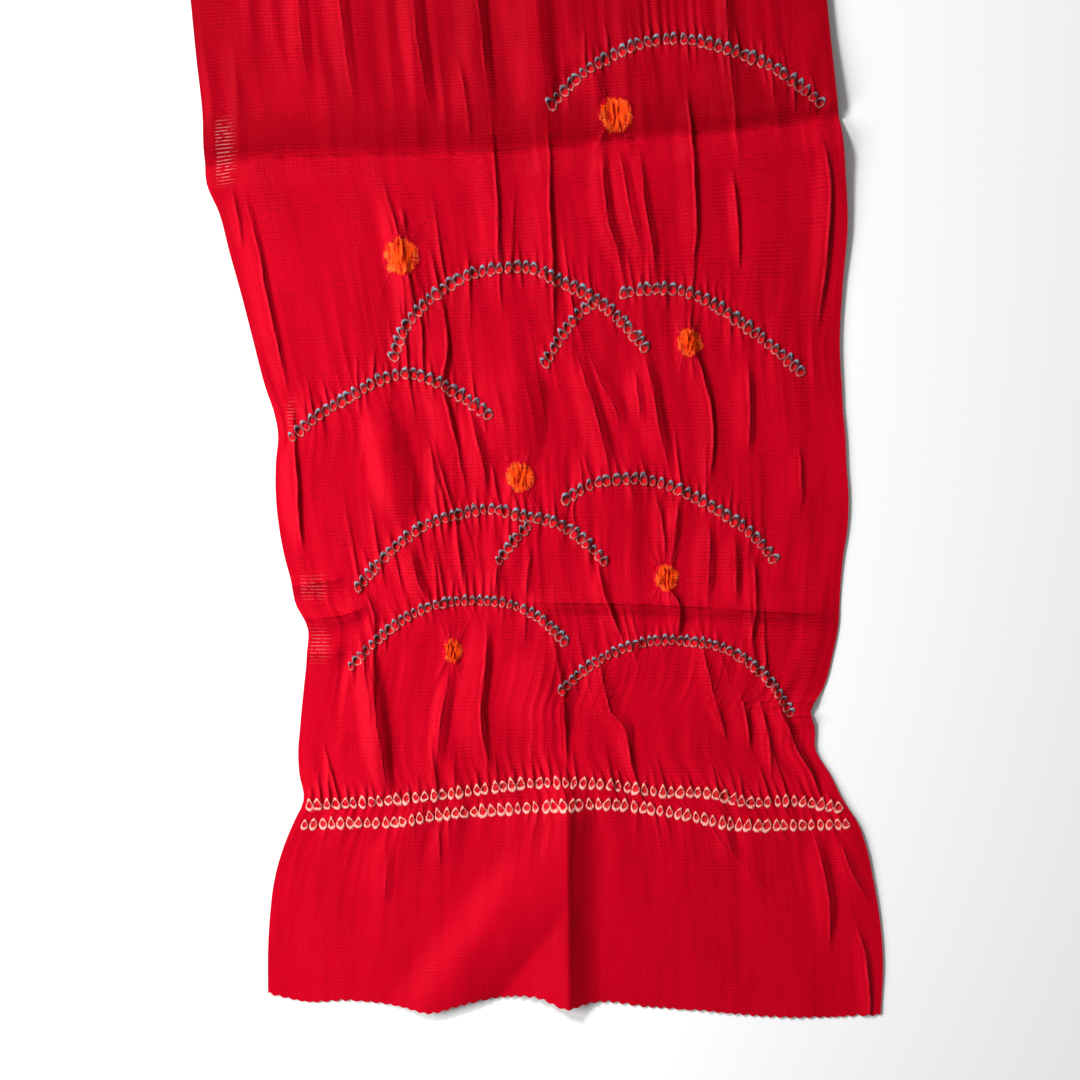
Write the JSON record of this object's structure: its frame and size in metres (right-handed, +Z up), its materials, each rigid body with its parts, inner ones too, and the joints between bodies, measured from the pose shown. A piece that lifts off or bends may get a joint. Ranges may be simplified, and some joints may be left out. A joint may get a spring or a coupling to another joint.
{
  "type": "shibori obiage",
  "caption": "Long soft silk gauze sash, tie-dyed in arcs, rings and puckered knots at both ends, lying out flat with its gathers and storage creases.",
  "frame": {"origin": "on the surface that the cloth lies on, under the middle of its box", "axes": "+Z up out of the surface, +Y along the cloth, +X across it"},
  "size_m": [0.3558, 1.8002, 0.007],
  "materials": {
    "silk": "red open-weave silk gauze with a soft sheen, orange knots, blue-grey and pale ring marks"
  },
  "bodies": {
    "root": {"cloth": "silk"}
  },
  "joints": []
}
